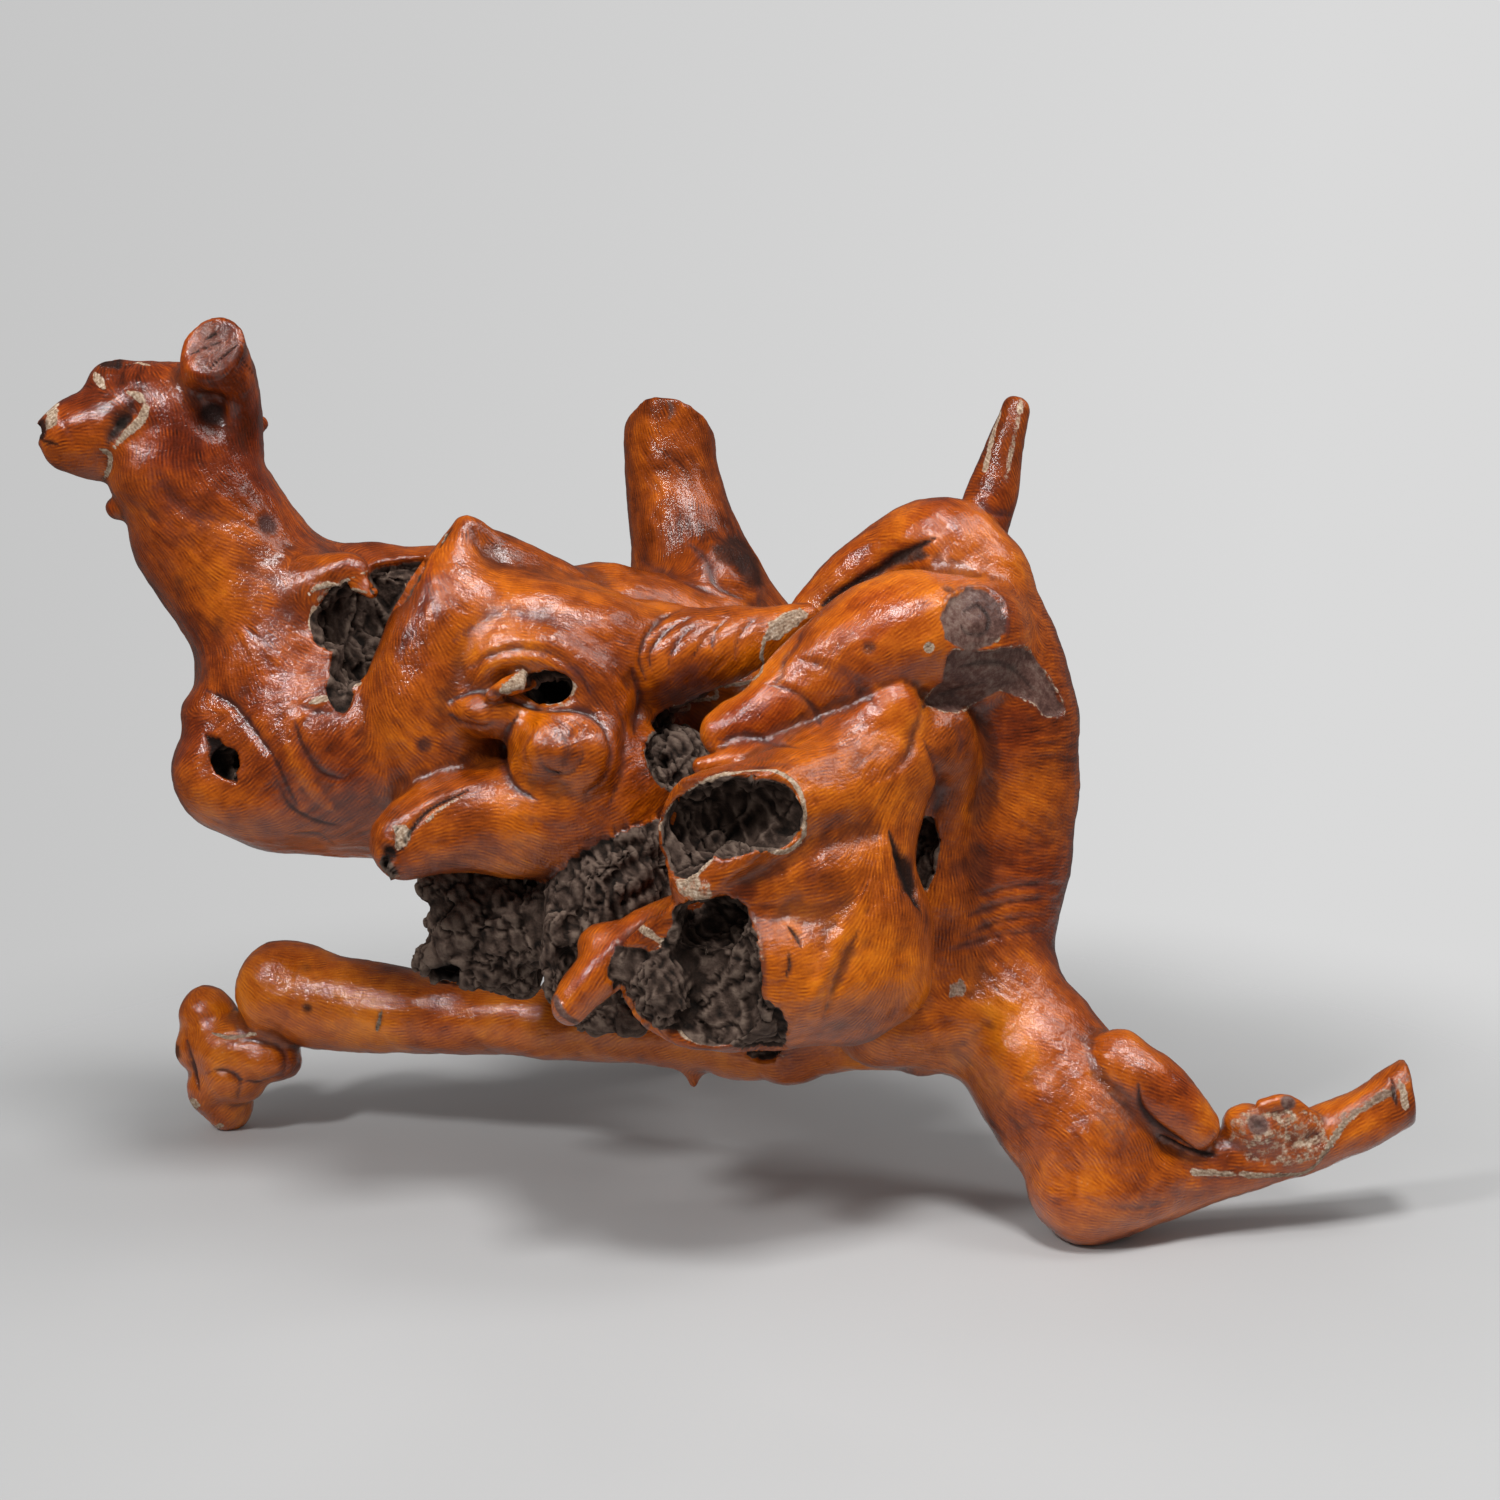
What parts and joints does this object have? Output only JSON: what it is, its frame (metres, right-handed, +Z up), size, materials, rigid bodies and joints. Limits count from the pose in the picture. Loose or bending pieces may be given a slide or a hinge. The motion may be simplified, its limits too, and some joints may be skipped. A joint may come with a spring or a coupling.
{
  "type": "dry root",
  "caption": "Gnarled, polished tree root for display that stands on its own limbs, with knobs, folds, a spike, a sawn stub and rotted hollows.",
  "frame": {"origin": "middle of the root's bounding box, on the floor that it stands on", "axes": "+X to the right of the front view, along the root from its head to its toe; +Y away from the viewer; +Z up"},
  "size_m": [0.5857, 0.3224, 0.3836],
  "materials": {
    "polished_wood": "lacquered, glossy red-brown burl with fine fibres and purple-brown creases; matt, grey-black, crumbled wood in its hollows and heart"
  },
  "bodies": {
    "root": {"dry_root": "polished_wood"}
  },
  "joints": []
}
